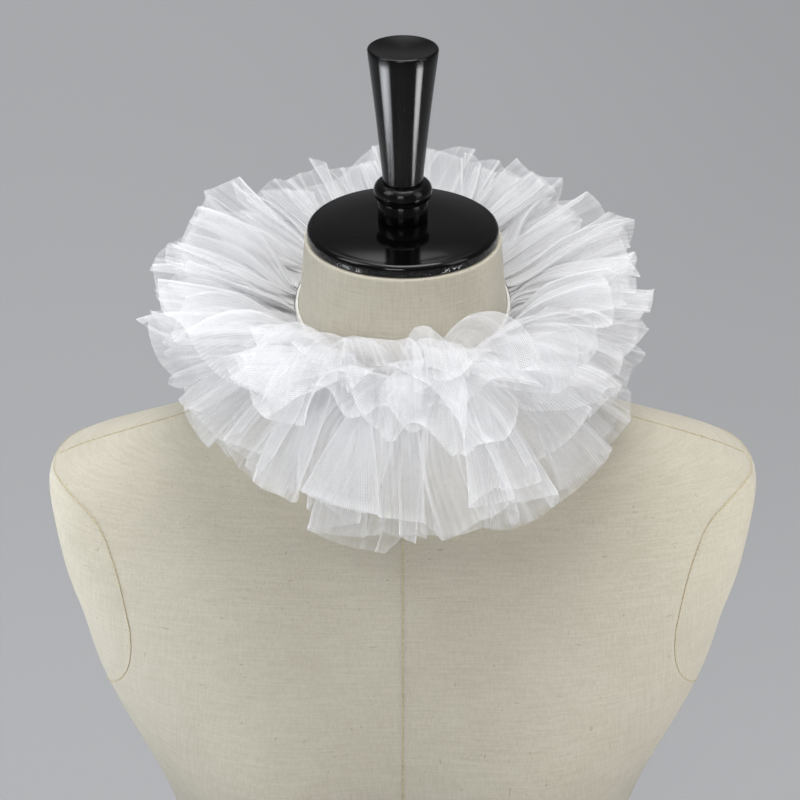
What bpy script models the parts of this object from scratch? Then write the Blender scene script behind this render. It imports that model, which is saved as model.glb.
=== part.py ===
"""Gathered net ruff collar, worn round the neck of a limbless, linen-covered dress form.

Metres, +Z up, front towards -Y. The origin is the centre of the form's flat underside. Azimuth 0 is
the front of the neck, and 90 degrees is +X, the viewer's right.
"""

import math
import random
from collections import namedtuple

import bmesh
import bpy

# Dress form
NECK_TOP = 0.652
FORM_COLUMNS = 40
FORM_RING_STEP = 0.026
NECK_FROM = 0.570
NECK_RING_STEP = 0.007
BUST_HEIGHT = 0.352
BUST_APART = 0.074
BUST_SPREAD_X = 0.046
BUST_SPREAD_Z = 0.050
BUST_PROUD = 0.024

# Wooden neck cap and its turned handle
SEAM_GAP = 0.0003
CAP_RADIUS = 0.050
CAP_RIM = 0.0065
CAP_RISE = 0.004
CAP_SEAT_RADIUS = 0.0135
CAP_STEPS = 40
FOOT_RADIUS = 0.0130
FOOT_HEIGHT = 0.010
BEAD_RADIUS = 0.0152
BEAD_HEIGHT = 0.0105
CONE_FOOT_RADIUS = 0.0104
CONE_TOP_RADIUS = 0.0182
CONE_HEIGHT = 0.073
HANDLE_STEPS = 28

# Ruff
BAND_HEIGHT = 0.010
BAND_WALL = 0.0015
BAND_AT_BACK = 0.622
BAND_AT_FRONT = 0.600
NET_WALL = 0.0010
FRILL_LAYERS = 3
FOLDS = 28
FOLD_COLUMNS = (0.0, 0.13, 0.5, 0.63)
FOLD_STRAY = 0.06
FOLD_SWING = math.radians(9.5)
FOLD_UNEVEN = 0.35
ROOT_STEP_OUT = 0.0016
ROOT_STEP_UP = 0.0017
ROOT_CLEAR = 0.0011

Section = namedtuple("Section", "height half_width front back squareness")
Spread = namedtuple("Spread", "azimuth reach inner_root inner_tip outer_root outer_tip")
Wing = namedtuple("Wing", "name spans side seed")

# The form's cross-sections from the flat underside at the hips to the top of the neck, in metres.
FORM_SECTIONS = [
    Section(0.000, 0.164, 0.098, 0.114, 2.3),
    Section(0.040, 0.169, 0.101, 0.118, 2.3),
    Section(0.095, 0.163, 0.100, 0.113, 2.3),
    Section(0.155, 0.142, 0.092, 0.095, 2.2),
    Section(0.205, 0.126, 0.085, 0.080, 2.2),
    Section(0.252, 0.1235, 0.085, 0.077, 2.2),
    Section(0.302, 0.1325, 0.093, 0.086, 2.3),
    Section(0.344, 0.144, 0.103, 0.095, 2.4),
    Section(0.379, 0.160, 0.104, 0.100, 2.6),
    Section(0.413, 0.173, 0.099, 0.103, 2.8),
    Section(0.440, 0.1785, 0.092, 0.101, 3.0),
    Section(0.468, 0.187, 0.083, 0.096, 3.2),
    Section(0.492, 0.191, 0.073, 0.088, 3.2),
    Section(0.505, 0.1935, 0.064, 0.080, 3.0),
    Section(0.513, 0.1935, 0.060, 0.076, 2.7),
    Section(0.518, 0.190, 0.0585, 0.0735, 2.4),
    Section(0.5235, 0.180, 0.057, 0.071, 2.1),
    Section(0.530, 0.163, 0.056, 0.069, 1.9),
    Section(0.538, 0.138, 0.0555, 0.067, 1.8),
    Section(0.547, 0.110, 0.0555, 0.065, 1.8),
    Section(0.559, 0.084, 0.0555, 0.0625, 1.85),
    Section(0.577, 0.0675, 0.0555, 0.0597, 2.0),
    Section(0.595, 0.0588, 0.0555, 0.0572, 2.0),
    Section(0.615, 0.0551, 0.0545, 0.0548, 2.0),
    Section(0.633, 0.0530, 0.0528, 0.0530, 2.0),
    Section(0.652, 0.0515, 0.0515, 0.0515, 2.0),
]

# The two wings of the gathered net: the spans each bends in from the band to its cut edge, its side
# of the band, and the seed of its folds.
UPPER_WING = Wing("upper", 3, 1, 5)
LOWER_WING = Wing("lower", 2, -1, 11)

# Round the neck, how far the net reaches from the band, in metres, and how far it stands above the
# horizontal, in degrees: the layer next to the neck and the layer furthest from it, each where it is
# stitched and at its cut edge.
UPPER_SPREAD = [
    Spread(0, 0.074, 84, -24, 36, -14),
    Spread(35, 0.072, 62, -8, 26, -6),
    Spread(75, 0.070, 26, 18, 12, 4),
    Spread(110, 0.065, 24, 14, 9, 2),
    Spread(145, 0.058, 21, 12, 8, 2),
    Spread(180, 0.064, 20, 11, 8, 2),
    Spread(215, 0.058, 21, 12, 8, 2),
    Spread(250, 0.068, 24, 14, 9, 2),
    Spread(285, 0.073, 26, 18, 12, 4),
    Spread(325, 0.072, 62, -8, 26, -6),
]
LOWER_SPREAD = [
    Spread(0, 0.083, -56, -70, -24, -44),
    Spread(40, 0.078, -46, -58, -16, -34),
    Spread(80, 0.070, -30, -38, -8, -18),
    Spread(120, 0.064, -26, -32, -6, -12),
    Spread(180, 0.060, -24, -30, -5, -10),
    Spread(240, 0.064, -26, -32, -6, -12),
    Spread(280, 0.070, -30, -38, -8, -18),
    Spread(320, 0.078, -46, -58, -16, -34),
]


def clear_scene():
    for obj in list(bpy.data.objects):
        bpy.data.objects.remove(obj)


def finish_of(name, colour, roughness, coat=0.0):
    material = bpy.data.materials.new(name)
    material.use_nodes = True
    shader = material.node_tree.nodes["Principled BSDF"]
    shader.inputs["Base Color"].default_value = (*colour, 1.0)
    shader.inputs["Roughness"].default_value = roughness
    shader.inputs["Metallic"].default_value = 0.0
    shader.inputs["Coat Weight"].default_value = coat
    return material


def smooth_row(table, at, cycle=None):
    """The row of a table at a value of its first column, on a smooth curve through the rows."""
    count = len(table)
    if cycle:
        index = max(i for i in range(count) if table[i][0] <= at % cycle)
        picked = [table[(index + step) % count] for step in (-1, 0, 1, 2)]
        keys = [table[(index + step) % count][0] + cycle * ((index + step) // count) for step in (-1, 0, 1, 2)]
        at = at % cycle
    else:
        index = max(i for i in range(count - 1) if table[i][0] <= max(at, table[0][0]))
        picked = [table[min(max(index + step, 0), count - 1)] for step in (-1, 0, 1, 2)]
        keys = [row[0] for row in picked]
    span = keys[2] - keys[1]
    share = (at - keys[1]) / span
    values = []
    for before, low, high, after in zip(*picked):
        slope_low = (high - before) / max(keys[2] - keys[0], 1e-9) * span
        slope_high = (after - low) / max(keys[3] - keys[1], 1e-9) * span
        values.append(
            low * (1 + 2 * share) * (1 - share) ** 2
            + slope_low * share * (1 - share) ** 2
            + high * share**2 * (3 - 2 * share)
            - slope_high * share**2 * (1 - share)
        )
    return type(table[0])(*values)


def bell(distance, spread):
    return math.exp(-((distance / spread) ** 2))


def form_point(azimuth, height, outward=0.0):
    """A point on the form's skin, or that far outside it, at a height."""
    section = smooth_row(FORM_SECTIONS, height)
    side, ahead = math.sin(azimuth), math.cos(azimuth)
    power = 2 / section.squareness
    x = section.half_width * math.copysign(abs(side) ** power, side)
    depth = section.front if ahead > 0 else section.back
    y = -depth * math.copysign(abs(ahead) ** power, ahead)
    if ahead > 0:
        bust = bell(height - BUST_HEIGHT, BUST_SPREAD_Z) * bell(abs(x) - BUST_APART, BUST_SPREAD_X)
        y -= BUST_PROUD * bust * min(1.0, 2 * ahead)
    return (x + outward * side, y - outward * ahead, height)


def skin_of(rings, closed_ends):
    """A mesh through rings of points, each ring joined to the next, with flat ends if asked."""
    mesh = bmesh.new()
    rows = [[mesh.verts.new(point) for point in ring] for ring in rings]
    for low, high in zip(rows, rows[1:]):
        for here in range(len(low)):
            there = (here + 1) % len(low)
            mesh.faces.new((low[here], low[there], high[there], high[here]))
    if closed_ends:
        mesh.faces.new(rows[0])
        mesh.faces.new(rows[-1])
    bmesh.ops.recalc_face_normals(mesh, faces=mesh.faces)
    return mesh


def add_object(name, mesh, material, group, sharp=math.radians(40)):
    data = bpy.data.meshes.new(name)
    mesh.to_mesh(data)
    mesh.free()
    data.materials.append(material)
    data.shade_smooth()
    data.set_sharp_from_angle(angle=sharp)
    obj = bpy.data.objects.new(name, data)
    group.objects.link(obj)
    return obj


def thicken(obj, wall):
    solid = obj.modifiers.new("Wall", "SOLIDIFY")
    solid.thickness = wall
    solid.offset = 0.0
    solid.use_even_offset = False


def form_heights():
    """The height of each ring of the form: every section of the table, and even steps between."""
    heights = []
    for low, high in zip(FORM_SECTIONS, FORM_SECTIONS[1:]):
        step_limit = NECK_RING_STEP if low.height > NECK_FROM else FORM_RING_STEP
        steps = math.ceil((high.height - low.height) / step_limit)
        heights += [low.height + (high.height - low.height) * step / steps for step in range(steps)]
    return heights + [NECK_TOP]


def make_form(linen, group):
    """The padded torso and neck in one, flat under the hips and flat on top of the neck."""
    turns = [math.tau * column / FORM_COLUMNS for column in range(FORM_COLUMNS)]
    rings = [[form_point(turn, height) for turn in turns] for height in form_heights()]
    add_object("dress_form", skin_of(rings, closed_ends=True), linen, group)


def make_turned(name, profile, steps, base, material, group):
    """A turned piece: its outline runs from the axis at the top, down the outside, to the axis."""
    mesh = bmesh.new()
    points = [mesh.verts.new((radius, 0.0, height)) for radius, height in profile]
    for upper, lower in zip(points, points[1:]):
        mesh.edges.new((upper, lower))
    obj = add_object(name, mesh, material, group)
    turn = obj.modifiers.new("Turn", "SCREW")
    turn.axis = "Z"
    turn.steps = steps
    turn.render_steps = steps
    turn.use_merge_vertices = True
    turn.merge_threshold = 0.00001
    obj.location.z = base


def cap_profile():
    """A shallow dome with a flat seat for the handle, and a rounded rim."""
    round_off = 0.35 * CAP_RIM
    chamfer = 0.12 * CAP_RIM
    top = CAP_RIM + CAP_RISE
    outline = [(0.0, top), (CAP_SEAT_RADIUS, top)]
    for share in (0.3, 0.6, 0.85):
        radius = CAP_SEAT_RADIUS + share * (CAP_RADIUS - round_off - CAP_SEAT_RADIUS)
        outline.append((radius, CAP_RIM + CAP_RISE * (1 - share**2)))
    outline += [
        (CAP_RADIUS - round_off, CAP_RIM),
        (CAP_RADIUS, CAP_RIM - round_off),
        (CAP_RADIUS, chamfer),
        (CAP_RADIUS - chamfer, 0.0),
        (0.0, 0.0),
    ]
    return outline


def handle_profile():
    """A foot on the cap, a rounded bead, and a cone that widens to a flat top."""
    bead_low = FOOT_HEIGHT
    bead_mid = bead_low + BEAD_HEIGHT / 2
    cone_low = bead_low + BEAD_HEIGHT
    cone_top = cone_low + CONE_HEIGHT
    chamfer = 0.0012
    outline = [
        (0.0, cone_top),
        (CONE_TOP_RADIUS - chamfer, cone_top),
        (CONE_TOP_RADIUS, cone_top - chamfer),
        (CONE_FOOT_RADIUS, cone_low),
    ]
    neck = BEAD_RADIUS - FOOT_RADIUS + 0.002
    for degrees in (60, 30, 0, -30, -60):
        turn = math.radians(degrees)
        outline.append((BEAD_RADIUS - neck * (1 - math.cos(turn)), bead_mid + BEAD_HEIGHT / 2 * math.sin(turn)))
    outline += [
        (FOOT_RADIUS - 0.0015, bead_low - 0.002),
        (FOOT_RADIUS - 0.0015, 0.005),
        (FOOT_RADIUS, 0.003),
        (FOOT_RADIUS, 0.0),
        (0.0, 0.0),
    ]
    return outline


def band_height(azimuth):
    """The ruff is stitched along a ring that dips from the nape to the front."""
    middle = (BAND_AT_BACK + BAND_AT_FRONT) / 2
    return middle - (BAND_AT_BACK - BAND_AT_FRONT) / 2 * math.cos(azimuth)


def make_band(tape, group):
    """The narrow tape round the neck that all the net is stitched to."""
    turns = [math.tau * column / FORM_COLUMNS for column in range(FORM_COLUMNS)]
    clear = SEAM_GAP + BAND_WALL / 2
    rings = [
        [form_point(turn, band_height(turn) + rise, clear) for turn in turns]
        for rise in (-BAND_HEIGHT / 2, 0.0, BAND_HEIGHT / 2)
    ]
    band = add_object("neck_band", skin_of(rings, closed_ends=False), tape, group)
    thicken(band, BAND_WALL)


def fold_columns(seed):
    """(azimuth, swing) of each column of a wing: two at each fold's crest and two in its hollow."""
    draw = random.Random(seed)
    pitch = math.tau / FOLDS
    columns = []
    for fold in range(FOLDS):
        start = (fold + FOLD_STRAY * draw.uniform(-1, 1)) * pitch
        crest = 1 + FOLD_UNEVEN * draw.uniform(-1, 1)
        hollow = 1 + FOLD_UNEVEN * draw.uniform(-1, 1)
        for share, swing in zip(FOLD_COLUMNS, (0.92 * crest, crest, -0.92 * hollow, -hollow)):
            columns.append((start + share * pitch, swing))
    return columns


def net_point(azimuth, swing, wing, spread, layer, along):
    """A point of a gathered layer: it leaves the band at one slope and bends to that of its edge."""
    share = layer / (FRILL_LAYERS - 1)
    row = smooth_row(spread, math.degrees(azimuth), cycle=360)
    root_lift = math.radians(row.inner_root + share * (row.outer_root - row.inner_root))
    tip_lift = math.radians(row.inner_tip + share * (row.outer_tip - row.inner_tip))
    rise = wing.side * (ROOT_CLEAR + ROOT_STEP_UP * (FRILL_LAYERS - 1 - layer))
    clear = SEAM_GAP + BAND_WALL + SEAM_GAP + NET_WALL / 2 + ROOT_STEP_OUT * layer
    x, y, z = form_point(azimuth, band_height(azimuth) + rise, clear)
    stretch = row.reach / wing.spans
    for span in range(along):
        lift = root_lift + (tip_lift - root_lift) * (span + 0.5) / wing.spans + swing * FOLD_SWING
        x += stretch * math.cos(lift) * math.sin(azimuth)
        y -= stretch * math.cos(lift) * math.cos(azimuth)
        z += stretch * math.sin(lift)
    return (x, y, z)


def make_wing(wing, spread, net, group):
    """The layers of net above or below the band. Their folds nest, as they are gathered together."""
    columns = fold_columns(wing.seed)
    for layer in range(FRILL_LAYERS):
        rings = [
            [net_point(azimuth, swing, wing, spread, layer, along) for azimuth, swing in columns]
            for along in range(wing.spans + 1)
        ]
        name = f"{wing.name}_frill_{layer + 1}"
        frill = add_object(name, skin_of(rings, closed_ends=False), net, group)
        thicken(frill, NET_WALL)


def main():
    clear_scene()
    group = bpy.data.collections.new("ruff_collar")
    bpy.context.scene.collection.children.link(group)
    linen = finish_of("linen", (0.70, 0.63, 0.47), 0.9)
    lacquer = finish_of("black_lacquer", (0.012, 0.010, 0.010), 0.12, coat=0.6)
    tape = finish_of("band_tape", (0.86, 0.86, 0.84), 0.8)
    net = finish_of("white_net", (0.90, 0.91, 0.93), 0.7)
    make_form(linen, group)
    cap_base = NECK_TOP + SEAM_GAP
    make_turned("neck_cap", cap_profile(), CAP_STEPS, cap_base, lacquer, group)
    handle_base = cap_base + CAP_RIM + CAP_RISE + SEAM_GAP
    make_turned("cap_handle", handle_profile(), HANDLE_STEPS, handle_base, lacquer, group)
    make_band(tape, group)
    make_wing(UPPER_WING, UPPER_SPREAD, net, group)
    make_wing(LOWER_WING, LOWER_SPREAD, net, group)


main()
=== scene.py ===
"""Looks of a gathered net ruff, worn round the neck of a linen-covered dress form.

Metres, +Z up, front towards -Y. Azimuth 0 is the front of the neck and 90 degrees is +X.
"""

import math
from collections import namedtuple

import bmesh
import bpy
import numpy as np
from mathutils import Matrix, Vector
from mathutils.bvhtree import BVHTree


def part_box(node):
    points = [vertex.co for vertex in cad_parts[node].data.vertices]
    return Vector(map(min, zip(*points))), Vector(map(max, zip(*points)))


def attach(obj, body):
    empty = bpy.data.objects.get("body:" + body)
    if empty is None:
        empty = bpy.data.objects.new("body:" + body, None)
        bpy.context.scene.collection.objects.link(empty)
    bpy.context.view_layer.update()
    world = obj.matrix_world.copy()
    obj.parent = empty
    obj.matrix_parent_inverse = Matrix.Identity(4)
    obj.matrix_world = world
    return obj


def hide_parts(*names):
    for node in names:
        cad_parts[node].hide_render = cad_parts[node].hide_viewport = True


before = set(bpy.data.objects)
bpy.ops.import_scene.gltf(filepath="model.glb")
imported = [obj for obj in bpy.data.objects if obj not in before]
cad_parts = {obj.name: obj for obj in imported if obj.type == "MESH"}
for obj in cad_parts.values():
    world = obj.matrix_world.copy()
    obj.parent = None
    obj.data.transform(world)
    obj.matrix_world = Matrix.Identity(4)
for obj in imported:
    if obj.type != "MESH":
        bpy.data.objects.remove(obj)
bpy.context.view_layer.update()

scene = bpy.context.scene


# Studio
# A plain grey floor that runs out of sight, in a grey room with a pale ceiling. Large soft lamps
# stand left, right, above, in front and behind, and two small low ones draw the streaks on the
# handle. The camera looks down on the neck from the front.
CAMERA_PLACE = (-0.0015, -1.2299, 1.2390)
CAMERA_DOWN = math.radians(29.1)
CAMERA_LENS = 117.6
FLOOR_REACH = 30.0
FLOOR_GREY = (0.347, 0.349, 0.356)
WALL_GREY = (0.18, 0.183, 0.19)
CEILING_PALE = (0.88, 0.89, 0.92)


class Signal:
    """An output of a shader node, used in sums as a number is."""

    def __init__(self, tree, socket=None):
        self.tree = tree
        self.socket = socket

    def node(self, kind, settings=None, inputs=None, out=0):
        """A new node: its settings first, then the values or links of its sockets."""
        node = self.tree.nodes.new(kind)
        for name, value in (settings or {}).items():
            setattr(node, name, value)
        for name, value in (inputs or {}).items():
            if isinstance(value, Signal):
                self.tree.links.new(value.socket, node.inputs[name])
            else:
                node.inputs[name].default_value = value
        return Signal(self.tree, node.outputs[out])

    def maths(self, operation, *values):
        inputs = dict(enumerate(values))
        return self.node("ShaderNodeMath", {"operation": operation}, inputs)

    def __add__(self, other):
        return self.maths("ADD", self, other)

    def __radd__(self, other):
        return self.maths("ADD", other, self)

    def __sub__(self, other):
        return self.maths("SUBTRACT", self, other)

    def __rsub__(self, other):
        return self.maths("SUBTRACT", other, self)

    def __mul__(self, other):
        return self.maths("MULTIPLY", self, other)

    def __rmul__(self, other):
        return self.maths("MULTIPLY", other, self)

    def step(self, low, high):
        """0 below low and 1 above high, with a soft step between."""
        inputs = {"Value": self, "From Min": low, "From Max": high}
        return self.node("ShaderNodeMapRange", {"interpolation_type": "SMOOTHSTEP"}, inputs)

    def at(self, scale):
        """These coordinates, multiplied by a scale for each axis."""
        return self.node("ShaderNodeMapping", None, {"Vector": self, "Scale": scale})

    def noise(self, scale, detail=2.0, roughness=0.5):
        inputs = {"Vector": self, "Scale": scale, "Detail": detail, "Roughness": roughness}
        return self.node("ShaderNodeTexNoise", None, inputs)

    def blend(self, low, high):
        """The colour low where this value is 0, and high where it is 1 or more."""
        sockets = {0: self, 6: low, 7: high}
        return self.node("ShaderNodeMix", {"data_type": "RGBA"}, sockets, out=2)

    def bump(self, strength, distance):
        inputs = {"Height": self, "Strength": strength, "Distance": distance}
        return self.node("ShaderNodeBump", None, inputs)


def fresh_material(name):
    """An empty material, the start of its shader sums and its output node."""
    material = bpy.data.materials.new(name)
    material.use_nodes = True
    tree = material.node_tree
    tree.nodes.clear()
    output = tree.nodes.new("ShaderNodeOutputMaterial")
    return material, Signal(tree), output


def finish_shader(output, shader):
    output.id_data.links.new(shader.socket, output.inputs["Surface"])


def floor_finish():
    material, start, output = fresh_material("floor_grey")
    where = start.node("ShaderNodeTexCoord", out=3)
    cloud = where.noise(0.9, detail=1.0)
    colour = cloud.blend((*FLOOR_GREY, 1.0), tuple(1.03 * c for c in FLOOR_GREY) + (1.0,))
    shader = start.node("ShaderNodeBsdfPrincipled", None, {"Base Color": colour, "Roughness": 0.9})
    finish_shader(output, shader)
    return material


def make_floor():
    mesh = bmesh.new()
    bmesh.ops.create_circle(mesh, cap_ends=True, segments=96, radius=FLOOR_REACH)
    data = bpy.data.meshes.new("studio_floor")
    mesh.to_mesh(data)
    mesh.free()
    data.materials.append(floor_finish())
    floor = bpy.data.objects.new("studio_floor", data)
    scene.collection.objects.link(floor)


def add_lamp(name, place, aim, size, power, colour, spread=180):
    """A soft rectangular lamp, in metres and watts, its beam as wide as the spread in degrees."""
    lamp = bpy.data.lights.new(name, "AREA")
    lamp.shape = "RECTANGLE"
    lamp.size, lamp.size_y = size
    lamp.energy = power
    lamp.color = colour
    lamp.spread = math.radians(spread)
    holder = bpy.data.objects.new(name, lamp)
    holder.location = place
    holder.rotation_euler = (Vector(aim) - Vector(place)).to_track_quat("-Z", "Y").to_euler()
    holder.visible_camera = False
    scene.collection.objects.link(holder)


def grey_room():
    """Grey walls all round, and a pale ceiling that lights everything softly from above."""
    room = bpy.data.worlds.new("grey_room")
    room.use_nodes = True
    tree = room.node_tree
    upward = Signal(tree, tree.nodes.new("ShaderNodeTexCoord").outputs["Generated"])
    height = upward.node("ShaderNodeSeparateXYZ", None, {0: upward}, out=2)
    colour = height.step(0.58, 0.92).blend((*WALL_GREY, 1.0), (*CEILING_PALE, 1.0))
    tree.links.new(colour.socket, tree.nodes["Background"].inputs["Color"])
    return room


def make_camera():
    lens = bpy.data.cameras.new("camera")
    lens.lens = CAMERA_LENS
    lens.sensor_width = 36.0
    camera = bpy.data.objects.new("camera", lens)
    camera.location = CAMERA_PLACE
    camera.rotation_euler = (math.pi / 2 - CAMERA_DOWN, 0.0, 0.0)
    scene.collection.objects.link(camera)
    scene.camera = camera


make_camera()
make_floor()
neck_middle = (0.0, 0.0, 0.60)
handle_middle = (0.0, 0.0, 0.72)
add_lamp("window_left", (-1.45, -0.45, 2.05), neck_middle, (0.9, 1.2), 14.5, (0.92, 0.955, 1.0))
add_lamp("window_right", (1.45, -0.60, 1.40), neck_middle, (0.7, 1.2), 6.0, (1.0, 0.98, 0.95))
add_lamp("ceiling", (0.1, 0.05, 2.3), neck_middle, (1.0, 1.0), 8.2, (1.0, 1.0, 1.0), 110)
add_lamp("front", (-0.5, -2.9, 1.9), neck_middle, (1.1, 0.40), 5.3, (1.0, 1.0, 1.0), 90)
add_lamp("behind", (-0.7, 2.7, 3.6), (-0.6, 2.6, 0.0), (2.0, 2.0), 18.5, (1.0, 1.0, 1.0), 90)
add_lamp("low_left", (-0.80, -0.30, 0.15), handle_middle, (0.62, 0.22), 0.92, (0.92, 0.95, 1.0), 50)
add_lamp("low_right", (0.75, -0.42, 0.15), handle_middle, (0.36, 0.22), 0.54, (1.0, 1.0, 1.0), 50)
scene.world = grey_room()
scene.view_settings.view_transform = "Standard"
scene.cycles.transparent_max_bounces = 12
scene.cycles.max_bounces = 6
scene.cycles.diffuse_bounces = 4
scene.cycles.transmission_bounces = 4
scene.cycles.glossy_bounces = 2


# Dress form
# A padded torso and neck covered in unbleached linen, sewn in panels. The cover is one skin on the
# form's own solid, smoothed, with the slubs and faint soiling of a form that has been used.
LINEN_PALE = (0.545, 0.513, 0.424)
LINEN_SHADE = (0.425, 0.388, 0.300)
LINEN_SLUB = (0.24, 0.19, 0.12)


def linen_finish():
    material, start, output = fresh_material("linen_cover")
    where = start.node("ShaderNodeTexCoord", out=3)
    weft = where.at((60.0, 60.0, 1100.0)).noise(1.0, detail=4.0, roughness=0.65)
    warp = where.at((900.0, 900.0, 50.0)).noise(1.0, detail=4.0, roughness=0.65)
    patches = where.noise(11.0, detail=4.0, roughness=0.6)
    soiling = where.noise(24.0, detail=4.0, roughness=0.6).step(0.56, 0.78)
    flecks = where.at((110.0, 110.0, 420.0)).noise(1.0, detail=2.0).step(0.70, 0.76)
    specks = where.at((380.0, 380.0, 200.0)).noise(1.0, detail=1.0).step(0.74, 0.79)
    threads = weft * 0.5 + warp * 0.5
    tone = threads.step(0.36, 0.64) * 0.55 + patches.step(0.25, 0.75) * 0.35
    colour = tone.blend((*LINEN_PALE, 1.0), (*LINEN_SHADE, 1.0))
    colour = (soiling * 0.28).blend(colour, (*LINEN_SHADE, 1.0))
    colour = (flecks * 0.30).blend(colour, (*LINEN_SLUB, 1.0))
    colour = (specks * 0.40).blend(colour, (*LINEN_SLUB, 1.0))
    rough = 0.86 + threads * 0.12
    relief = threads.bump(0.5, 0.0008)
    inputs = {"Base Color": colour, "Roughness": rough, "Normal": relief, "Sheen Weight": 0.15}
    finish_shader(output, start.node("ShaderNodeBsdfPrincipled", None, inputs))
    return material


def add_piece(name, data, material):
    """A mesh as a piece of the part, on its one body."""
    data.materials.clear()
    data.materials.append(material)
    piece = bpy.data.objects.new(name, data)
    scene.collection.objects.link(piece)
    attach(piece, "root")
    return piece


def plain_mesh(obj, name):
    """The evaluated mesh of an object, which is then removed."""
    bpy.context.view_layer.update()
    seen = obj.evaluated_get(bpy.context.evaluated_depsgraph_get())
    data = bpy.data.meshes.new_from_object(seen)
    data.name = name
    bpy.data.objects.remove(obj)
    return data


def smoothed_copy(node, levels, crease_over):
    """A finer copy of a solid: its triangles paired to quads, rounded, with its sharp rims kept."""
    mesh = bmesh.new()
    mesh.from_mesh(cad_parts[node].data)
    bmesh.ops.remove_doubles(mesh, verts=mesh.verts, dist=0.00002)
    angles = {"angle_face_threshold": math.radians(60), "angle_shape_threshold": math.radians(60)}
    bmesh.ops.join_triangles(mesh, faces=mesh.faces, **angles)
    crease = mesh.edges.layers.float.new("crease_edge")
    for edge in mesh.edges:
        if len(edge.link_faces) == 2 and edge.calc_face_angle() > crease_over:
            edge[crease] = 1.0
    data = bpy.data.meshes.new(node)
    mesh.to_mesh(data)
    mesh.free()
    coarse = bpy.data.objects.new("coarse", data)
    scene.collection.objects.link(coarse)
    rounding = coarse.modifiers.new("Rounding", "SUBSURF")
    rounding.levels = levels
    rounding.render_levels = levels
    fine = plain_mesh(coarse, node)
    fine.shade_smooth()
    fine.set_sharp_from_angle(angle=math.radians(50))
    return fine


linen = linen_finish()
form_mesh = smoothed_copy("dress_form", 2, math.radians(60))
form_skin = add_piece("linen_form", form_mesh, linen)
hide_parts("dress_form")
form_shape = bmesh.new()
form_shape.from_mesh(form_skin.data)
form_tree = BVHTree.FromBMesh(form_shape)
form_shape.free()


# Seams of the linen
# The cover's panels are joined down the middle of the front and back, over the shoulders and round
# the armholes, where a row of small stitches shows. Each seam is a fine ridge on the cloth.
SEAM_RADIUS = 0.00042
SEAM_COLOUR = (0.53, 0.46, 0.30)
THREAD_COLOUR = (0.60, 0.55, 0.42)
STITCH_PITCH = 0.0034
STITCH_LENGTH = 0.0024
STITCH_RADIUS = 0.00032
MIDDLE_SEAM_HEIGHTS = (0.002, 0.585)
SHOULDER_SEAM_REACH = (0.060, 0.187)
SHOULDER_SEAM_DEPTH = 0.004
# Stations of the right armhole, from the shoulder's tip down the front and up the back.
ARMHOLE_STATIONS = [
    (0.1910, 0.000, 0.5170),
    (0.1780, -0.034, 0.5150),
    (0.1620, -0.050, 0.5040),
    (0.1530, -0.068, 0.4800),
    (0.1510, -0.080, 0.4500),
    (0.1530, -0.070, 0.4220),
    (0.1610, -0.040, 0.4020),
    (0.1660, 0.000, 0.3950),
    (0.1610, 0.042, 0.4020),
    (0.1530, 0.074, 0.4220),
    (0.1510, 0.084, 0.4500),
    (0.1530, 0.074, 0.4800),
    (0.1620, 0.056, 0.5040),
    (0.1780, 0.038, 0.5150),
]


def seam_finish(name, tint):
    material, start, output = fresh_material(name)
    where = start.node("ShaderNodeTexCoord", out=3)
    fibre = where.noise(900.0, detail=2.0)
    shade = tuple(0.75 * c for c in tint)
    colour = fibre.step(0.35, 0.65).blend((*tint, 1.0), (*shade, 1.0))
    inputs = {"Base Color": colour, "Roughness": 0.9, "Normal": fibre.bump(0.4, 0.0003)}
    finish_shader(output, start.node("ShaderNodeBsdfPrincipled", None, inputs))
    return material


def on_form(origin, direction):
    """Where a ray meets the linen, and the linen's outward normal there."""
    spot, normal, _, _ = form_tree.ray_cast(Vector(origin), Vector(direction).normalized())
    return spot, normal


def middle_seam(side):
    """Points up the middle of the front (side -1) or the back (side 1)."""
    heights = np.linspace(*MIDDLE_SEAM_HEIGHTS, 110)
    return [on_form((0.0, side, float(height)), (0.0, -side, 0.0)) for height in heights]


def shoulder_seam(side):
    """Points along the top of a shoulder, from the neck to its tip."""
    reaches = side * np.linspace(*SHOULDER_SEAM_REACH, 40)
    above = [(float(reach), SHOULDER_SEAM_DEPTH, 1.0) for reach in reaches]
    return [on_form(place, (0.0, 0.0, -1.0)) for place in above]


def armhole_seam(side):
    """Points round the armhole, on a closed smooth line through its stations."""
    stations = np.array(ARMHOLE_STATIONS)
    count = len(stations)
    points = []
    for place in np.linspace(0.0, count, 8 * count + 1):
        low = int(place) % count
        share = place - int(place)
        before, here, there, after = (stations[(low + step) % count] for step in (-1, 0, 1, 2))
        cube = 3 * (here - there) + after - before
        square = 2 * before - 5 * here + 4 * there - after
        bend = here + 0.5 * share * (there - before + share * (square + share * cube))
        near, normal, _, _ = form_tree.find_nearest(Vector((side * bend[0], bend[1], bend[2])))
        points.append((near, normal))
    return points


def path_object(name, points, raise_by):
    """A line through points of the linen, raised a little along its normals."""
    mesh = bmesh.new()
    line = [mesh.verts.new(spot + normal * raise_by) for spot, normal in points if spot is not None]
    for here, there in zip(line, line[1:]):
        mesh.edges.new((here, there))
    data = bpy.data.meshes.new(name)
    mesh.to_mesh(data)
    mesh.free()
    obj = bpy.data.objects.new(name, data)
    scene.collection.objects.link(obj)
    return obj


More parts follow.
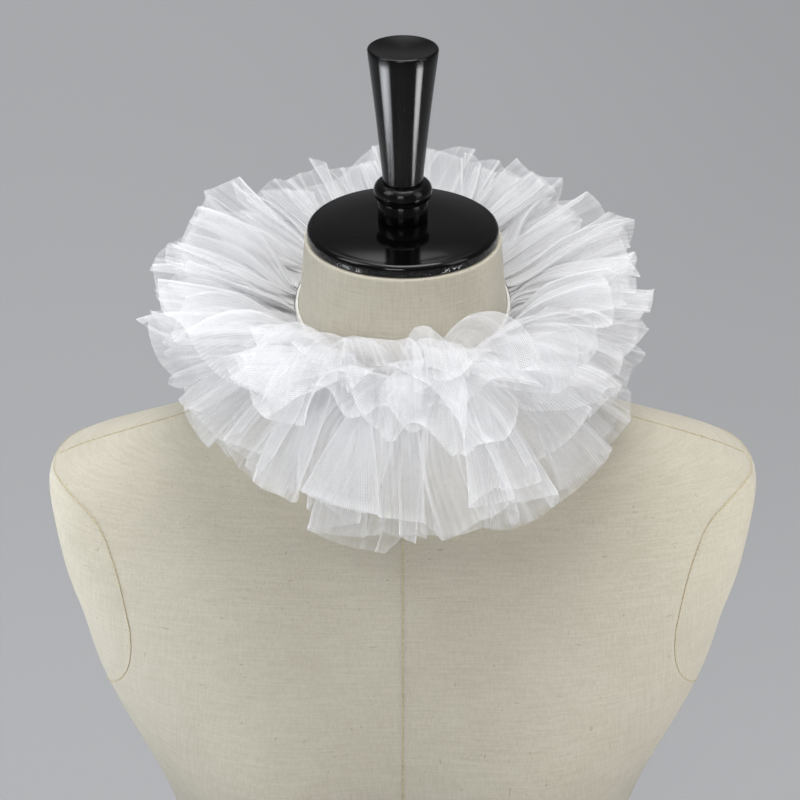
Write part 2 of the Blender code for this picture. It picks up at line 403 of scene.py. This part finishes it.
class Tree:
    """A Geometry Nodes tree with named sizes as its inputs."""

    def __init__(self, name, sizes):
        self.group = bpy.data.node_groups.new(name, "GeometryNodeTree")
        face = self.group.interface
        face.new_socket("Geometry", in_out="INPUT", socket_type="NodeSocketGeometry")
        face.new_socket("Geometry", in_out="OUTPUT", socket_type="NodeSocketGeometry")
        for size in sizes:
            face.new_socket(size, in_out="INPUT", socket_type="NodeSocketFloat")
        self.entry = self.group.nodes.new("NodeGroupInput")
        self.exit = self.group.nodes.new("NodeGroupOutput")

    def node(self, kind, settings=None, inputs=None):
        node = self.group.nodes.new(kind)
        for name, value in (settings or {}).items():
            setattr(node, name, value)
        for name, value in (inputs or {}).items():
            if isinstance(value, bpy.types.NodeSocket):
                self.group.links.new(value, node.inputs[name])
            else:
                node.inputs[name].default_value = value
        return node

    def close(self, geometry, material):
        """Ends the tree: its geometry is made real, shaded smooth and given its material."""
        whole = self.node("GeometryNodeRealizeInstances", None, {"Geometry": geometry})
        inputs = {"Geometry": whole.outputs["Geometry"]}
        smooth = self.node("GeometryNodeSetShadeSmooth", None, inputs)
        inputs = {"Geometry": smooth.outputs["Geometry"], "Material": material}
        paint = self.node("GeometryNodeSetMaterial", None, inputs)
        self.group.links.new(paint.outputs["Geometry"], self.exit.inputs["Geometry"])

    def run(self, obj, sizes, name):
        """The tree's result on an object, as a plain mesh. The object is used up."""
        growth = obj.modifiers.new("Growth", "NODES")
        growth.node_group = self.group
        for item in self.group.interface.items_tree:
            if item.item_type == "SOCKET" and item.name in sizes:
                growth[item.identifier] = sizes[item.name]
        return plain_mesh(obj, name)


def ridge_tree(material):
    """A thin round ridge along each line."""
    tree = Tree("seam_ridge", ["Radius"])
    curve = tree.node("GeometryNodeMeshToCurve", None, {"Mesh": tree.entry.outputs["Geometry"]})
    sizes = {"Resolution": 6, "Radius": tree.entry.outputs["Radius"]}
    ring = tree.node("GeometryNodeCurvePrimitiveCircle", None, sizes)
    inputs = {
        "Curve": curve.outputs["Curve"],
        "Profile Curve": ring.outputs["Curve"],
        "Fill Caps": True,
    }
    tube = tree.node("GeometryNodeCurveToMesh", None, inputs)
    tree.close(tube.outputs["Mesh"], material)
    return tree


def stitch_tree(material):
    """A row of short round stitches along each line."""
    tree = Tree("stitch_row", ["Pitch", "Length", "Radius"])
    curve = tree.node("GeometryNodeMeshToCurve", None, {"Mesh": tree.entry.outputs["Geometry"]})
    places = tree.node(
        "GeometryNodeCurveToPoints",
        {"mode": "LENGTH"},
        {"Curve": curve.outputs["Curve"], "Length": tree.entry.outputs["Pitch"]},
    )
    sizes = {
        "Vertices": 6,
        "Radius": tree.entry.outputs["Radius"],
        "Depth": tree.entry.outputs["Length"],
    }
    thread = tree.node("GeometryNodeMeshCylinder", None, sizes)
    inputs = {"Vector": places.outputs["Tangent"]}
    turned = tree.node("FunctionNodeAlignRotationToVector", {"axis": "Z"}, inputs)
    inputs = {
        "Points": places.outputs["Points"],
        "Instance": thread.outputs["Mesh"],
        "Rotation": turned.outputs["Rotation"],
    }
    row = tree.node("GeometryNodeInstanceOnPoints", None, inputs)
    tree.close(row.outputs["Instances"], material)
    return tree


seam_cloth = seam_finish("seam_linen", SEAM_COLOUR)
seam_thread = seam_finish("seam_thread", THREAD_COLOUR)
ridges = ridge_tree(seam_cloth)
stitches = stitch_tree(seam_thread)
seam_paths = {
    "seam_front": middle_seam(-1.0),
    "seam_back": middle_seam(1.0),
    "seam_shoulder_right": shoulder_seam(1.0),
    "seam_shoulder_left": shoulder_seam(-1.0),
    "seam_armhole_right": armhole_seam(1.0),
    "seam_armhole_left": armhole_seam(-1.0),
}
for seam_name, seam_points in seam_paths.items():
    line = path_object(seam_name, seam_points, 0.1 * SEAM_RADIUS)
    add_piece(seam_name, ridges.run(line, {"Radius": SEAM_RADIUS}, seam_name), seam_cloth)
    if "armhole" in seam_name:
        beside = path_object("beside", seam_points, 0.3 * STITCH_RADIUS)
        row_name = seam_name.replace("seam", "stitches")
        sizes = {"Pitch": STITCH_PITCH, "Length": STITCH_LENGTH, "Radius": STITCH_RADIUS}
        add_piece(row_name, stitches.run(beside, sizes, row_name), seam_thread)


# Neck cap
# A shallow turned wooden disc that closes the neck, sprayed with glossy black lacquer. Its top edge
# is rounded, and years of handling have left fine scratches.
CAP_SIDES = 160
CAP_MIDDLE_FLAT = 0.0135
CAP_RIM = 0.0065
CAP_EDGE_ROUND = 0.0030
CAP_FOOT_ROUND = 0.0007
CAP_DOME_POWER = 2.2
LACQUER_BLACK = (0.0012, 0.0011, 0.0011)
LACQUER_WORN = (0.030, 0.028, 0.027)


def lacquer_finish(name, turned):
    """Black lacquer. With turned 1 it has a lathe's fine rings, which draw lamps out to streaks."""
    material, start, output = fresh_material(name)
    where = start.node("ShaderNodeTexCoord", out=3)
    long_marks = where.at((60.0, 900.0, 140.0)).noise(1.0, detail=2.0, roughness=0.7)
    cross_marks = where.at((800.0, 70.0, 260.0)).noise(1.0, detail=2.0, roughness=0.7)
    scratch = long_marks.step(0.74, 0.78) + cross_marks.step(0.75, 0.79)
    rubbed = where.noise(38.0, detail=5.0, roughness=0.65).step(0.62, 0.84)
    dust = where.noise(1900.0, detail=0.0).step(0.82, 0.85)
    marks = scratch * 0.45 + rubbed * 0.06 + dust * 0.5
    colour = marks.blend((*LACQUER_BLACK, 1.0), (*LACQUER_WORN, 1.0))
    rough = 0.10 + 0.10 * turned + rubbed * 0.10 + scratch * 0.18
    ripple = where.noise(34.0, detail=1.0)
    inputs = {
        "Base Color": colour,
        "Roughness": rough,
        "IOR": 1.35,
        "Anisotropic": 0.85 * turned,
        "Anisotropic Rotation": 0.25,
        "Normal": ripple.bump(0.15, 0.0012),
    }
    finish_shader(output, start.node("ShaderNodeBsdfPrincipled", None, inputs))
    return material


def turned_mesh(name, outline, sides, base):
    """A closed turned shape from its outline, axis to axis, top first, standing at a height."""
    mesh = bmesh.new()
    rings = []
    for radius, height in outline:
        if radius < 1e-6:
            rings.append([mesh.verts.new((0.0, 0.0, base + height))])
            continue
        turns = [math.tau * side / sides for side in range(sides)]
        ring = [(radius * math.cos(t), radius * math.sin(t), base + height) for t in turns]
        rings.append([mesh.verts.new(place) for place in ring])
    for upper, lower in zip(rings, rings[1:]):
        for side in range(sides):
            nxt = (side + 1) % sides
            corners = [upper[side % len(upper)], lower[side % len(lower)]]
            corners += [lower[nxt % len(lower)], upper[nxt % len(upper)]]
            mesh.faces.new(list(dict.fromkeys(corners)))
    bmesh.ops.recalc_face_normals(mesh, faces=mesh.faces)
    data = bpy.data.meshes.new(name)
    mesh.to_mesh(data)
    mesh.free()
    data.shade_smooth()
    data.set_sharp_from_angle(angle=math.radians(38))
    return data


def arc(centre, radius, start, end, count):
    """Points on an arc in the outline plane, its angles in degrees from the outward direction."""
    turns = np.radians(np.linspace(start, end, count))
    return [(centre[0] + radius * math.cos(t), centre[1] + radius * math.sin(t)) for t in turns]


cap_low, cap_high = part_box("neck_cap")
cap_radius = (cap_high.x - cap_low.x) / 2
cap_height = cap_high.z - cap_low.z
dome_radius = cap_radius - CAP_EDGE_ROUND
cap_outline = [(0.0, cap_height)]
for share in np.linspace(0.0, 1.0, 22):
    radius = CAP_MIDDLE_FLAT + float(share) * (dome_radius - CAP_MIDDLE_FLAT)
    dome = (cap_height - CAP_RIM) * (1 - float(share) ** CAP_DOME_POWER)
    cap_outline.append((radius, CAP_RIM + dome))
cap_outline += arc((dome_radius, CAP_RIM - CAP_EDGE_ROUND), CAP_EDGE_ROUND, 78, 0, 8)
cap_outline += arc((cap_radius - CAP_FOOT_ROUND, CAP_FOOT_ROUND), CAP_FOOT_ROUND, 0, -90, 5)
cap_outline.append((0.0, 0.0))
cap_mesh = turned_mesh("cap_disc", cap_outline, CAP_SIDES, cap_low.z)
cap = add_piece("cap_disc", cap_mesh, lacquer_finish("sprayed_lacquer", 0))
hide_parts("neck_cap")


# Handle
# Turned in one piece and lacquered like the cap: a plain round foot, a rounded bead and a cone that
# widens to a flat, slightly dished top.
HANDLE_SIDES = 128
TOP_DISH = 0.0010
TOP_RIM_WIDTH = 0.0040
TOP_RIM_DROP = 0.0009
TOP_ROUND = 0.0013
TOP_INSET = 0.0014
CONE_HOLLOW = 0.0004
CONE_FOOT_RADIUS = 0.0104
BEAD_HEIGHT = 0.0105
BEAD_RADIUS = 0.0152
FOOT_HEIGHT = 0.010
FOOT_RADIUS = 0.0130
FOOT_BEVEL = 0.0006

handle_low, handle_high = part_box("cap_handle")
handle_top = handle_high.z - handle_low.z
cone_radius = (handle_high.x - handle_low.x) / 2
cone_top = handle_top - TOP_ROUND
cone_low = FOOT_HEIGHT + BEAD_HEIGHT
handle_outline = [(0.0, handle_top - TOP_DISH)]
handle_outline.append((cone_radius - TOP_RIM_WIDTH, handle_top - TOP_RIM_DROP))
handle_outline += arc((cone_radius - TOP_INSET, cone_top), TOP_ROUND, 100, 5, 8)
for share in np.linspace(0.06, 1.0, 16):
    hollow = CONE_HOLLOW * math.sin(math.pi * float(share))
    radius = cone_radius + (CONE_FOOT_RADIUS - cone_radius) * float(share) - hollow
    handle_outline.append((radius, cone_top - (cone_top - cone_low) * float(share)))
bead_middle = FOOT_HEIGHT + BEAD_HEIGHT / 2
for turn in np.radians(np.linspace(68, -68, 15)):
    reach = BEAD_RADIUS - (BEAD_RADIUS - CONE_FOOT_RADIUS) * (1 - math.cos(turn)) * 0.95
    handle_outline.append((reach, bead_middle + BEAD_HEIGHT / 2 * 1.02 * math.sin(turn)))
handle_outline += [(FOOT_RADIUS, FOOT_HEIGHT - FOOT_BEVEL), (FOOT_RADIUS, FOOT_BEVEL)]
handle_outline += [(FOOT_RADIUS - FOOT_BEVEL / 2, 0.0), (0.0, 0.0)]
handle_mesh = turned_mesh("turned_handle", handle_outline, HANDLE_SIDES, handle_low.z)
turned_lacquer = lacquer_finish("turned_lacquer", 1)
handle = add_piece("turned_handle", handle_mesh, turned_lacquer)
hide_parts("cap_handle")


# Neck band
# A narrow white woven tape that lies on the neck, a little higher at the back than at the front.
# All the net is gathered and stitched to it.
BAND_AT_BACK = 0.622
BAND_AT_FRONT = 0.600
BAND_STEPS = 200
TAPE_WHITE = (0.70, 0.69, 0.65)
TAPE_SHADE = (0.60, 0.59, 0.55)
# The tape's section: how far out of the linen and how far up from its middle, in metres.
BAND_SECTION = [
    (0.0002, 0.0047),
    (0.0007, 0.0050),
    (0.0014, 0.0048),
    (0.0017, 0.0040),
    (0.0017, -0.0040),
    (0.0014, -0.0048),
    (0.0007, -0.0050),
    (0.0002, -0.0047),
]


def tape_finish():
    material, start, output = fresh_material("woven_tape")
    where = start.node("ShaderNodeTexCoord", out=3)
    ribs = where.at((220.0, 220.0, 1700.0)).noise(1.0, detail=2.0)
    colour = ribs.step(0.3, 0.7).blend((*TAPE_WHITE, 1.0), (*TAPE_SHADE, 1.0))
    inputs = {"Base Color": colour, "Roughness": 0.85, "Normal": ribs.bump(0.5, 0.0004)}
    finish_shader(output, start.node("ShaderNodeBsdfPrincipled", None, inputs))
    return material


def band_height(azimuth):
    """The height of the tape's middle line."""
    middle = (BAND_AT_BACK + BAND_AT_FRONT) / 2
    return middle - (BAND_AT_BACK - BAND_AT_FRONT) / 2 * math.cos(azimuth)


def neck_radius(azimuth, height):
    """How far the linen is from the neck's axis."""
    outward = Vector((math.sin(azimuth), -math.cos(azimuth), 0.0))
    spot, _ = on_form(Vector((0.0, 0.0, height)) + outward, -outward)
    return math.hypot(spot.x, spot.y)


def band_mesh():
    mesh = bmesh.new()
    rings = []
    for azimuth in np.linspace(0, math.tau, BAND_STEPS, endpoint=False):
        middle = band_height(azimuth)
        ring = []
        for out, up in BAND_SECTION:
            radius = neck_radius(azimuth, middle + up) + out
            place = (radius * math.sin(azimuth), -radius * math.cos(azimuth), middle + up)
            ring.append(mesh.verts.new(place))
        rings.append(ring)
    for ring, following in zip(rings, rings[1:] + rings[:1]):
        for low in range(len(BAND_SECTION)):
            high = (low + 1) % len(BAND_SECTION)
            mesh.faces.new((ring[low], ring[high], following[high], following[low]))
    bmesh.ops.recalc_face_normals(mesh, faces=mesh.faces)
    data = bpy.data.meshes.new("stitched_band")
    mesh.to_mesh(data)
    mesh.free()
    data.shade_smooth()
    return data


band = add_piece("stitched_band", band_mesh(), tape_finish())
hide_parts("neck_band")


# Net frills
# Three strips of soft hexagonal net, their edges cut raw, each gathered down its middle on to the
# band so that one half stands above it and the other hangs below. Small gathers at the band run
# together into wide crisp folds at the edge.
STRIP_LENGTH = 1.55
STRIP_HALF = 0.072
NET_COLUMNS = 1900
NET_ROWS = 17
NET_CELL = 0.0007
NET_WHITE = (0.85, 0.85, 0.858)
# How far off the linen and from each other the layers are stitched to the band, and how far off it
# they hang.
GATHER_CLEARANCE = 0.0020
GATHER_STEP = 0.0012
GATHER_RISE = 0.0008
HANG_CLEARANCE = 0.0012
HANG_STEP = 0.0008
HANG_SEARCH = 0.03
# The rows, as shares of the way from the band to the edge. The last two are the narrow cut edge.
ROW_PARTS = np.append(np.linspace(0.0, 0.986, NET_ROWS - 1), 1.0)
# How many azimuths round the neck a layer's start, slopes and reach are worked out for.
AROUND = 180

Fold = namedtuple("Fold", "count uneven standing lying")
Spread = namedtuple("Spread", "azimuth reach inner_root inner_tip outer_root outer_tip")
Wing = namedtuple("Wing", "name side seed spread")

# How many folds there are round the neck, how uneven their widths are, and how far their panels
# turn away from the strip's run, in radians, where they stand and where they lie.
BIG_FOLDS = Fold(48, 0.45, (0.75, 1.5), (2.2, 2.8))
MIDDLE_FOLDS = Fold(92, 0.6, (0.2, 1.2), (0.3, 1.9))
SMALL_GATHERS = Fold(230, 0.6, (0.5, 1.3), (0.5, 1.3))

# How far the net reaches from the band, in metres, and how far it stands above the horizontal, in
# degrees: the layer next to the neck and the furthest from it, at the band and at the edge.
UPPER_SPREAD = [
    Spread(0, 0.074, 80, -26, 36, -14),
    Spread(35, 0.072, 62, -8, 26, -6),
    Spread(75, 0.067, 36, 14, 12, 4),
    Spread(110, 0.063, 34, 11, 9, 2),
    Spread(145, 0.060, 32, 9, 8, 2),
    Spread(165, 0.070, 31, 9, 8, 2),
    Spread(188, 0.064, 30, 8, 8, 2),
    Spread(215, 0.060, 32, 9, 8, 2),
    Spread(250, 0.066, 34, 11, 9, 2),
    Spread(285, 0.070, 36, 14, 12, 4),
    Spread(325, 0.072, 62, -8, 26, -6),
]
LOWER_SPREAD = [
    Spread(0, 0.080, -56, -70, -24, -44),
    Spread(40, 0.074, -46, -58, -16, -34),
    Spread(80, 0.066, -30, -38, -8, -18),
    Spread(120, 0.064, -26, -32, -6, -12),
    Spread(180, 0.060, -24, -30, -5, -10),
    Spread(240, 0.064, -26, -32, -6, -12),
    Spread(280, 0.062, -30, -38, -8, -18),
    Spread(320, 0.070, -46, -58, -16, -34),
]


def round_column(table, column, azimuths):
    """A column of a table at many azimuths, on a smooth closed curve through its rows."""
    keys = np.array([row.azimuth for row in table], float)
    values = np.array([getattr(row, column) for row in table], float)
    keys = np.concatenate([keys - 360, keys, keys + 360])
    values = np.tile(values, 3)
    slopes = np.gradient(values, keys)
    place = np.clip(np.searchsorted(keys, azimuths, side="right") - 1, 0, len(keys) - 2)
    span = keys[place + 1] - keys[place]
    share = (azimuths - keys[place]) / span
    low, high = values[place], values[place + 1]
    rise_low, rise_high = slopes[place] * span, slopes[place + 1] * span
    return (
        low * (1 + 2 * share) * (1 - share) ** 2
        + rise_low * share * (1 - share) ** 2
        + high * share**2 * (3 - 2 * share)
        - rise_high * share**2 * (1 - share)
    )


def near_front(along, start, end):
    """1 at the front of the neck and 0 behind it, between two azimuths in degrees."""
    from_front = np.abs((along + 0.5) % 1.0 - 0.5) * 360
    share = np.clip((end - from_front) / (end - start), 0, 1)
    return share * share * (3 - 2 * share)


def lying_share(along):
    """The share of the pleats that lie flat: all at the front and back, fewer at the sides."""
    return np.maximum(near_front(along, 45, 85), np.maximum(0.55, near_front(along + 0.5, 40, 90)))


def crease_places(draw, folds, front=0.0):
    """Where the creases cross a closed strip, as shares of its length: two for each fold."""
    lengths = 1 + folds.uneven * draw.uniform(-1, 1, 2 * folds.count)
    middles = (np.arange(folds.count) + 0.5) / folds.count
    lengths[1::2] *= 1 - front * lying_share(middles)
    lengths *= np.repeat(1 + 2.0 * front * near_front(middles, 20, 60), 2)
    return np.concatenate([[0.0], np.cumsum(lengths)]) / lengths.sum()


def panels(draw, places, columns, folds):
    """The turn of each column's panel away from the strip's run: flat panels, to and fro.

    Standing panels turn about as far each way. Lying ones run on, then turn right back under.
    """
    count = len(places) - 1
    turns = draw.uniform(*folds.standing, count)
    turns[1::2] *= -1
    onward = draw.uniform(-0.5, 0.5, count)
    back = draw.uniform(*folds.lying, count)
    back = back * np.where(draw.uniform(size=count) < 0.5, -1, 1)
    flat = np.where(np.arange(count) % 2 == 0, onward, back)
    lie = lying_share((places[1:] + places[:-1]) / 2) > draw.uniform(size=count // 2).repeat(2)
    turns = np.where(lie, flat, turns)
    along = (np.arange(columns) + 0.5) / columns
    return turns[np.clip(np.searchsorted(places, along) - 1, 0, count - 1)]


def for_pleats(draw, places, columns, size, slant):
    """A value of its own for each pleat, which may slant over it, and runs over where it turns."""
    count = (len(places) - 1) // 2
    knots = np.repeat(draw.uniform(-size, size, count), 2)
    knots = knots + draw.uniform(-slant, slant, 2 * count)
    return np.interp(np.arange(columns) / columns, places, np.append(knots, knots[0]))


def smooth_noise(draw, waves, columns):
    """A smooth closed wobble with about this many waves, from -1 to 1."""
    along = np.arange(columns) / columns * math.tau
    total = np.zeros(columns)
    for order in range(1, 2 * waves):
        weight = math.exp(-((order - waves) / (0.6 * waves)) ** 2)
        total += weight * draw.normal() * np.sin(order * along + draw.uniform(0, math.tau))
    return total / max(1e-9, np.abs(total).max())


def meander(bend, length, target):
    """Scales a run of bends so that the strip they make is just as long as the ring it fills."""
    step = length / len(bend)
    low, high = 0.0, 3.0
    for _ in range(24):
        middle = (low + high) / 2
        if np.cos(middle * bend).sum() * step > target:
            low = middle
        else:
            high = middle
    angle = low * bend
    return np.cumsum(np.cos(angle)) * step, np.cumsum(np.sin(angle)) * step, angle


def moving_mean(values, width):
    kernel = np.ones(width) / width
    wrapped = np.concatenate([values[-width:], values, values[:width]])
    return np.convolve(wrapped, kernel, mode="same")[width:-width]


def around(values, turns):
    """Values for azimuths all round, read at any turn."""
    place = (turns % 1.0) * AROUND
    low = np.floor(place).astype(int) % AROUND
    share = place - np.floor(place)
    return values[low] * (1 - share) + values[(low + 1) % AROUND] * share


def layer_paths(wing, layer):
    """A layer's start, slopes and reach for azimuths all round."""
    azimuths = np.arange(AROUND) * 360 / AROUND
    share = layer / 2
    paths = {"reach": round_column(wing.spread, "reach", azimuths)}
    for end in ("root", "tip"):
        inner = round_column(wing.spread, f"inner_{end}", azimuths)
        outer = round_column(wing.spread, f"outer_{end}", azimuths)
        paths[end] = np.radians(inner * (1 - share) + outer * share)
    rise = wing.side * (GATHER_RISE + GATHER_STEP * (2 - layer))
    turns = np.radians(azimuths)
    paths["height"] = np.array([band_height(turn) + rise for turn in turns])
    starts = [neck_radius(turn, high) for turn, high in zip(turns, paths["height"])]
    paths["radius"] = np.array(starts) + GATHER_CLEARANCE + GATHER_STEP * layer
    return paths


def net_points(wing, layer):
    """The places of the net's grid, and how densely its threads lie at each.

    Each row is a strip of panels that turn to and fro, scaled to fill the ring at its reach. The
    big folds grow and the gathers fade from the band to the edge. At the upper front the net is
    softer, and curls over.
    """
    draw = np.random.default_rng(100 * wing.seed + layer)
    shared = np.random.default_rng(wing.seed)
    rows, columns = NET_ROWS, NET_COLUMNS
    along = (np.arange(columns) + 0.5) / columns
    front = near_front(along, 30, 75)
    upper = 1.0 if wing.side > 0 else 0.0
    paths = layer_paths(wing, layer)
    places = crease_places(shared, BIG_FOLDS, 0.5)
    places[1:-1] += draw.uniform(-0.0022, 0.0022, len(places) - 2)
    big = panels(draw, places, columns, BIG_FOLDS)
    middle = panels(draw, crease_places(draw, MIDDLE_FOLDS), columns, MIDDLE_FOLDS)
    small = panels(draw, crease_places(draw, SMALL_GATHERS), columns, SMALL_GATHERS)
    # What each pleat has of its own: how far its edge reaches, and how it leans, tilts and curls.
    edge = for_pleats(draw, places, columns, 0.12, 0.10) * (1 + 1.5 * front * upper)
    edge = np.minimum(edge + 0.03 - 0.02 * layer, 0.12 + 0.08 * upper)
    lean = for_pleats(draw, places, columns, 0.015, 0.004) * (1 + 0.8 * front)
    tilt = for_pleats(draw, places, columns, 0.30, 0.05) * (1 - (0.55 - 0.95 * upper) * front)
    tilt = tilt + 0.30 * front * upper * smooth_noise(draw, 20, columns)
    curl = smooth_noise(draw, 25, columns) * (0.4 + 1.3 * front * upper) - 0.5 * front * upper
    # How densely the threads lie, and how deep the folds are: less at the front and the back.
    streak = np.clip(np.abs(moving_mean(draw.normal(size=columns), 3)) * 1.4, 0, 1.5)
    soft = front * upper
    thin = 1 - 0.62 * soft - 0.25 * near_front(along + 0.5, 20, 70)
    depth = 0.92 - (0.50 - 0.22 * upper) * front - 0.25 * near_front(along + 0.5, 30, 80)
    spots = np.zeros((rows, columns, 3))
    dense = np.zeros((rows, columns))
    out = around(paths["radius"], along)
    up = around(paths["height"], along)
    for row, part in enumerate(ROW_PARTS):
        grown = 0.12 + 0.88 * part**0.75
        fine = 1.0 - 0.86 * min(1.0, part * 1.5) ** 0.6
        ripple = (0.30 + 0.35 * fine) * (1 - 0.5 * part * front)
        bend = moving_mean(grown * big + ripple * middle + fine * small, 2)
        bend = bend * (1 - soft) + 1.5 * moving_mean(bend, 37) * soft
        across, off, angle = meander(bend, STRIP_LENGTH, math.tau * out.mean())
        off = off - np.linspace(0, off[-1], columns)
        off = off - moving_mean(off, 2 * columns // BIG_FOLDS.count)
        turns = across / across[-1]
        turns = turns - moving_mean(turns - along, columns // 9) + part * lean
        slope = around(paths["root"], turns) * (1 - part) + around(paths["tip"], turns) * part
        slope = slope + part * tilt + curl * max(0.0, (part - 0.60) / 0.40) ** 2
        if row:
            stretch = around(paths["reach"], turns) * (1 + edge) * (part - ROW_PARTS[row - 1])
            out = out + stretch * np.cos(slope)
            up = up + stretch * np.sin(slope)
        off = off * depth * (0.20 + 0.80 * min(1.0, part * 2.2))
        far = out - off * np.sin(slope)
        high = up + off * np.cos(slope)
        azimuth = turns * math.tau
        spots[row] = np.stack([far * np.sin(azimuth), -far * np.cos(azimuth), high], -1)
        crease = (0.60 - 0.18 * soft) * np.clip(np.abs(np.gradient(angle)) / 0.8, 0, 1)
        packed = 0.02 + 0.86 * (1 - part) ** 2.4 * thin
        dense[row] = 1 - (1 - packed) * (1 - crease) * (1 - 0.13 * streak)
    # The cut edge shows as a thin whiter line.
    dense[-2:] = 1 - (1 - dense[-2:]) * 0.84
    return spots, np.clip(dense, 0, 0.98)


def push_clear(spots, clearance):
    """Moves any place inside or close to the linen out to a clearance from it."""
    flat = spots.reshape(-1, 3)
    for index in np.nonzero(flat[:, 2] < BAND_AT_FRONT + 0.005)[0]:
        spot = Vector(flat[index])
        near, normal, _, _ = form_tree.find_nearest(spot, HANG_SEARCH)
        if near is None:
            continue
        side = (spot - near).dot(normal)
        if side < clearance:
            flat[index] = near + normal * clearance
    return flat.reshape(spots.shape)


def net_mesh(name, wing, layer):
    spots, dense = net_points(wing, layer)
    spots = push_clear(spots, HANG_CLEARANCE + HANG_STEP * layer)
    rows, columns = dense.shape
    here = np.arange(rows * columns).reshape(rows, columns)
    there = np.roll(here, -1, axis=1)
    quads = np.stack([here[:-1], there[:-1], there[1:], here[1:]], axis=-1).reshape(-1, 4)
    data = bpy.data.meshes.new(name)
    data.from_pydata(spots.reshape(-1, 3), [], quads.tolist())
    along = quads % columns * (STRIP_LENGTH / columns)
    along[:, 1:3] = np.where(along[:, 1:3] == 0, STRIP_LENGTH, along[:, 1:3])
    across = ROW_PARTS[quads // columns] * STRIP_HALF
    cut = data.uv_layers.new(name="cut")
    cut.data.foreach_set("uv", np.stack([along, across], axis=-1).astype(np.float32).ravel())
    steep = math.tau / NET_CELL
    slant = steep / math.sqrt(3)
    waves = [2 * slant * along, slant * along + steep * across, slant * along - steep * across]
    threads = data.attributes.new("threads", "FLOAT_VECTOR", "CORNER")
    threads.data.foreach_set("vector", np.stack(waves, axis=-1).astype(np.float32).ravel())
    gaps = data.attributes.new("gaps", "FLOAT", "POINT")
    gaps.data.foreach_set("value", (1 - dense).astype(np.float32).ravel())
    data.shade_smooth()
    return data


def net_finish():
    """White threads round clear hexagonal holes, whiter where the net is gathered or creased."""
    material, start, output = fresh_material("soft_net")
    threads = start.node("ShaderNodeAttribute", {"attribute_name": "threads"}, out=1)
    gaps = start.node("ShaderNodeAttribute", {"attribute_name": "gaps"}, out=2)
    waves = start.node("ShaderNodeVectorMath", {"operation": "COSINE"}, {0: threads})
    lattice = start.node(
        "ShaderNodeVectorMath", {"operation": "DOT_PRODUCT"}, {0: waves, 1: (1.0, 1.0, 1.0)}, out=1
    )
    holes = {"Value": lattice, "From Min": -1.1, "From Max": 0.3, "To Min": 0.72, "To Max": 0.95}
    light_through = start.node("ShaderNodeMapRange", None, holes)
    cover = 1 - gaps * light_through
    surface = start.node(
        "ShaderNodeBsdfPrincipled",
        None,
        {"Base Color": (*NET_WHITE, 1.0), "Roughness": 0.75, "Specular IOR Level": 0.2},
    )
    glow = start.node("ShaderNodeBsdfTranslucent", None, {"Color": (*NET_WHITE, 1.0)})
    cloth = start.node("ShaderNodeMixShader", None, {0: 0.50, 1: surface, 2: glow})
    clear = start.node("ShaderNodeBsdfTransparent")
    finish_shader(output, start.node("ShaderNodeMixShader", None, {0: cover, 1: clear, 2: cloth}))
    return material


net = net_finish()
for wing in (Wing("upper", 1, 5, UPPER_SPREAD), Wing("lower", -1, 11, LOWER_SPREAD)):
    for layer in range(3):
        node = f"{wing.name}_frill_{layer + 1}"
        frill = add_piece(f"net_{node}", net_mesh(node, wing, layer), net)
        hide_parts(node)
